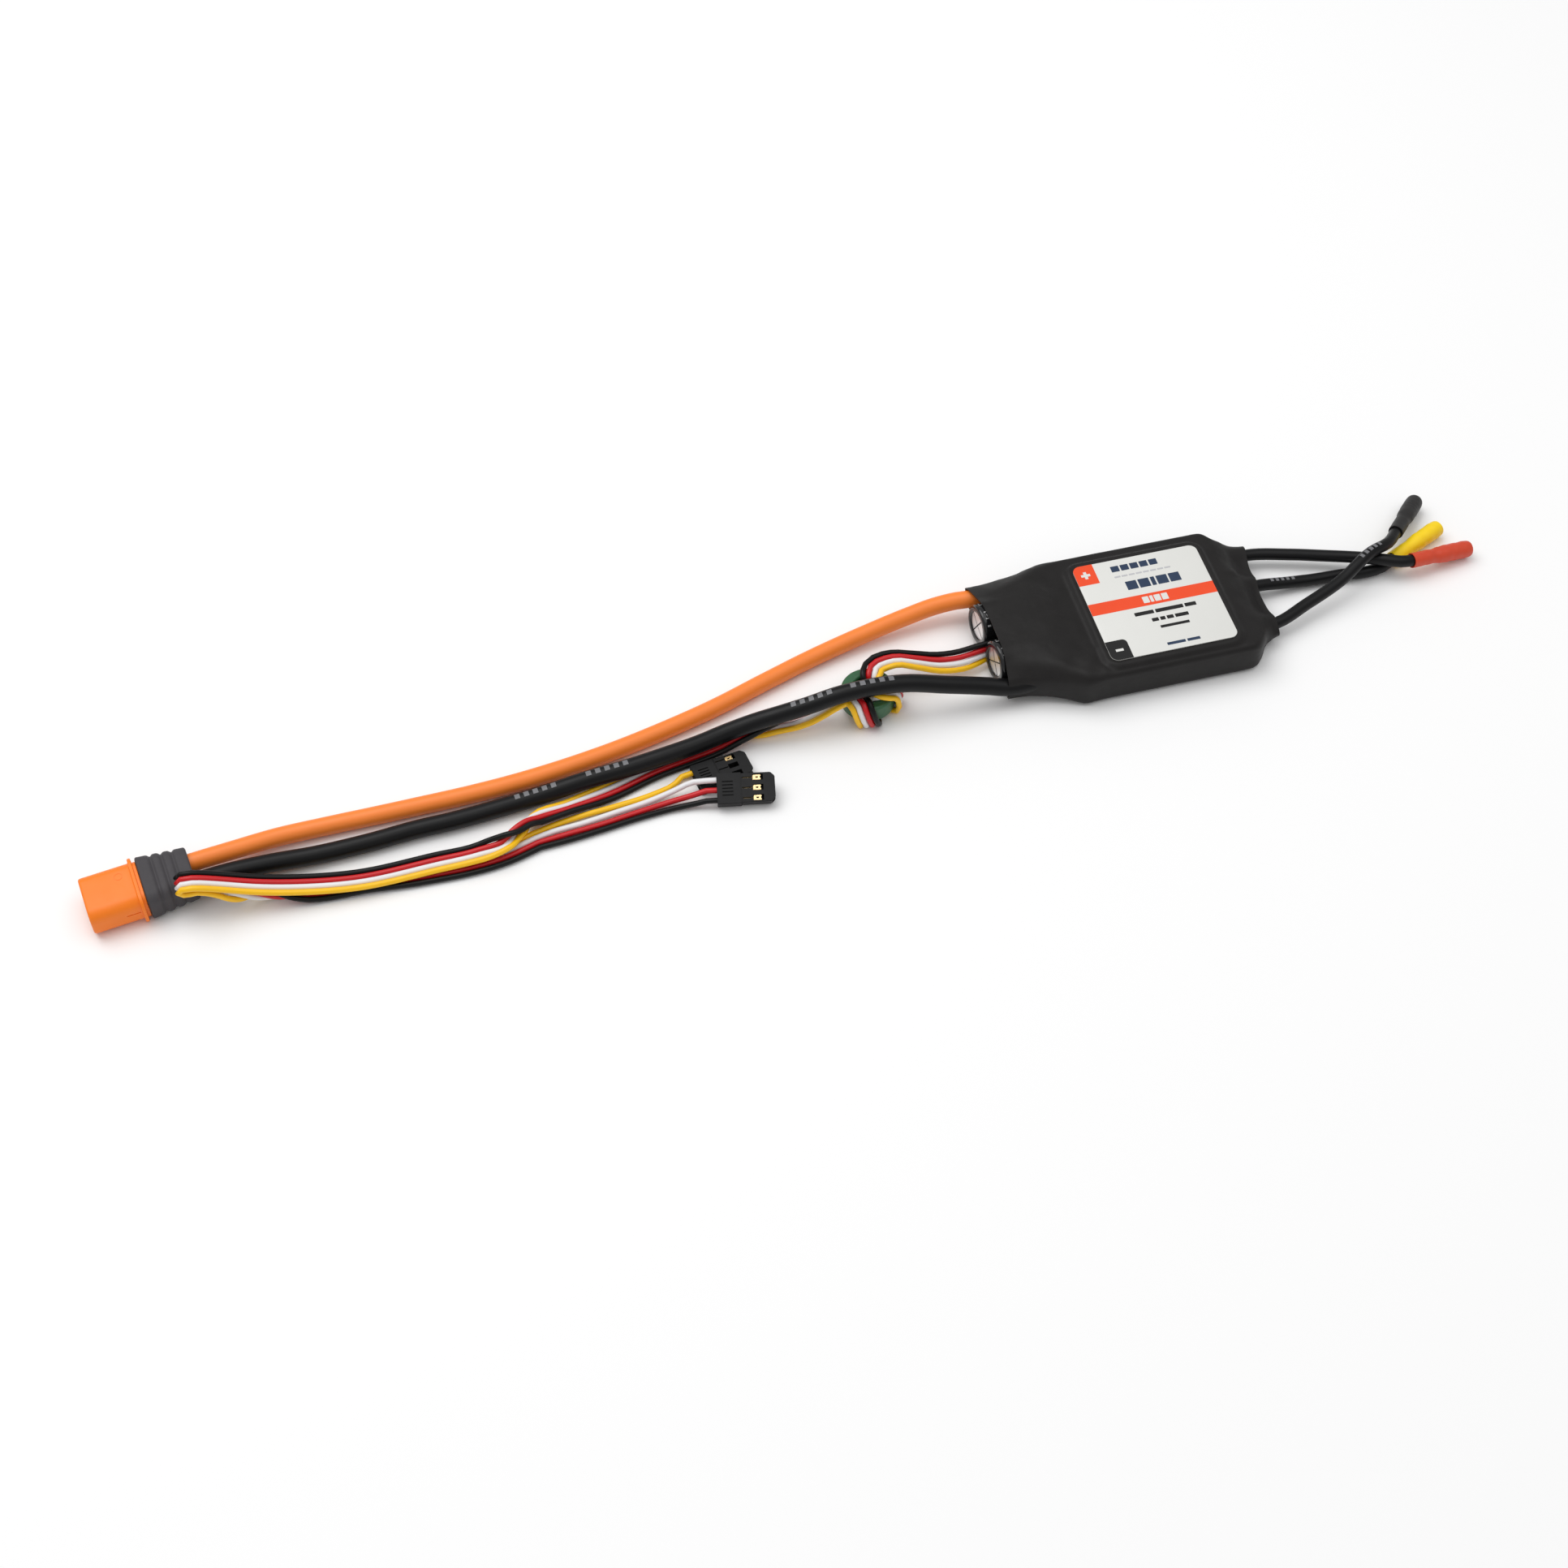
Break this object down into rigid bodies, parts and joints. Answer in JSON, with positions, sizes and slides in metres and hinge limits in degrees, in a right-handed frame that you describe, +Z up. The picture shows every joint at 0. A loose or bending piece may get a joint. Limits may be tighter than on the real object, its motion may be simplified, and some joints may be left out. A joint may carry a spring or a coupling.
{
  "type": "electronic speed controller",
  "caption": "Brushless motor speed controller in black heat-shrink, with power leads to an orange battery plug, motor leads with sockets, and signal wires through a ferrite ring.",
  "frame": {"origin": "bottom centre of the heat-shrink body and its capacitors, on the surface it lies on", "axes": "+X along the body from the battery end to the motor end, +Y towards the positive lead's side, +Z up out of the label"},
  "size_m": [0.3587, 0.0569, 0.0139],
  "materials": {
    "aluminium": "plain drawn aluminium, satin",
    "board_green": "glass-fibre circuit board with green solder mask",
    "cap_grey": "moulded nylon, matte",
    "chip_black": "moulded black plastic, fine matte grain",
    "ferrite_green": "ferrite with a green satin coat",
    "film_black": "thin glossy shrink film",
    "gold": "gold-plated brass, polished",
    "label_white": "printed self-adhesive label, satin laminate",
    "pad_grey": "soft matte thermal pad",
    "rubber_black": "black rubber bung",
    "shell_orange": "moulded nylon, light sheen",
    "shrink_black": "satin heat-shrink tube",
    "shrink_red": "satin heat-shrink tube",
    "shrink_yellow": "satin heat-shrink tube",
    "silicone_black": "satin silicone insulation",
    "silicone_orange": "satin silicone insulation",
    "sleeve_black": "soft satin heat-shrink film with shallow wrinkles",
    "tinned": "tinned copper, dull silver",
    "wire_black": "satin wire insulation",
    "wire_red": "satin wire insulation",
    "wire_white": "satin wire insulation",
    "wire_yellow": "satin wire insulation"
  },
  "bodies": {
    "root": {"capacitor_bung_far": "rubber_black", "capacitor_bung_near": "rubber_black", "capacitor_can_far": "aluminium", "capacitor_can_near": "aluminium", "capacitor_pin_far_negative": "tinned", "capacitor_pin_far_positive": "tinned", "capacitor_pin_near_negative": "tinned", "capacitor_pin_near_positive": "tinned", "capacitor_sleeve_far": "film_black", "capacitor_sleeve_near": "film_black", "connector_cap": "cap_grey", "connector_shell": "shell_orange", "cooling_plate": "aluminium", "ferrite_ring": "ferrite_green", "heat_shrink_sleeve": "sleeve_black", "insulator_black": "shrink_black", "insulator_red": "shrink_red", "insulator_yellow": "shrink_yellow", "label": "label_white", "logic_board": "board_green", "microcontroller": "chip_black", "mosfet_1": "chip_black", "mosfet_2": "chip_black", "mosfet_3": "chip_black", "mosfet_4": "chip_black", "mosfet_5": "chip_black", "mosfet_6": "chip_black", "motor_lead_a": "silicone_black", "motor_lead_b": "silicone_black", "motor_lead_c": "silicone_black", "motor_pad_a": "tinned", "motor_pad_b": "tinned", "motor_pad_c": "tinned", "motor_socket_a": "gold", "motor_socket_b": "gold", "motor_socket_c": "gold", "negative_contact": "gold", "negative_lead": "silicone_black", "negative_pad": "tinned", "positive_contact": "gold", "positive_lead": "silicone_orange", "positive_pad": "tinned", "power_board": "board_green", "receiver_plug_1": "chip_black", "receiver_plug_2": "chip_black", "regulator_inductor": "chip_black", "signal_contact_black": "gold", "signal_contact_red": "gold", "signal_contact_white": "gold", "signal_contact_yellow": "gold", "signal_wire_black": "wire_black", "signal_wire_red": "wire_red", "signal_wire_white": "wire_white", "signal_wire_yellow": "wire_yellow", "spacer_header": "chip_black", "thermal_pad": "pad_grey"}
  },
  "joints": []
}
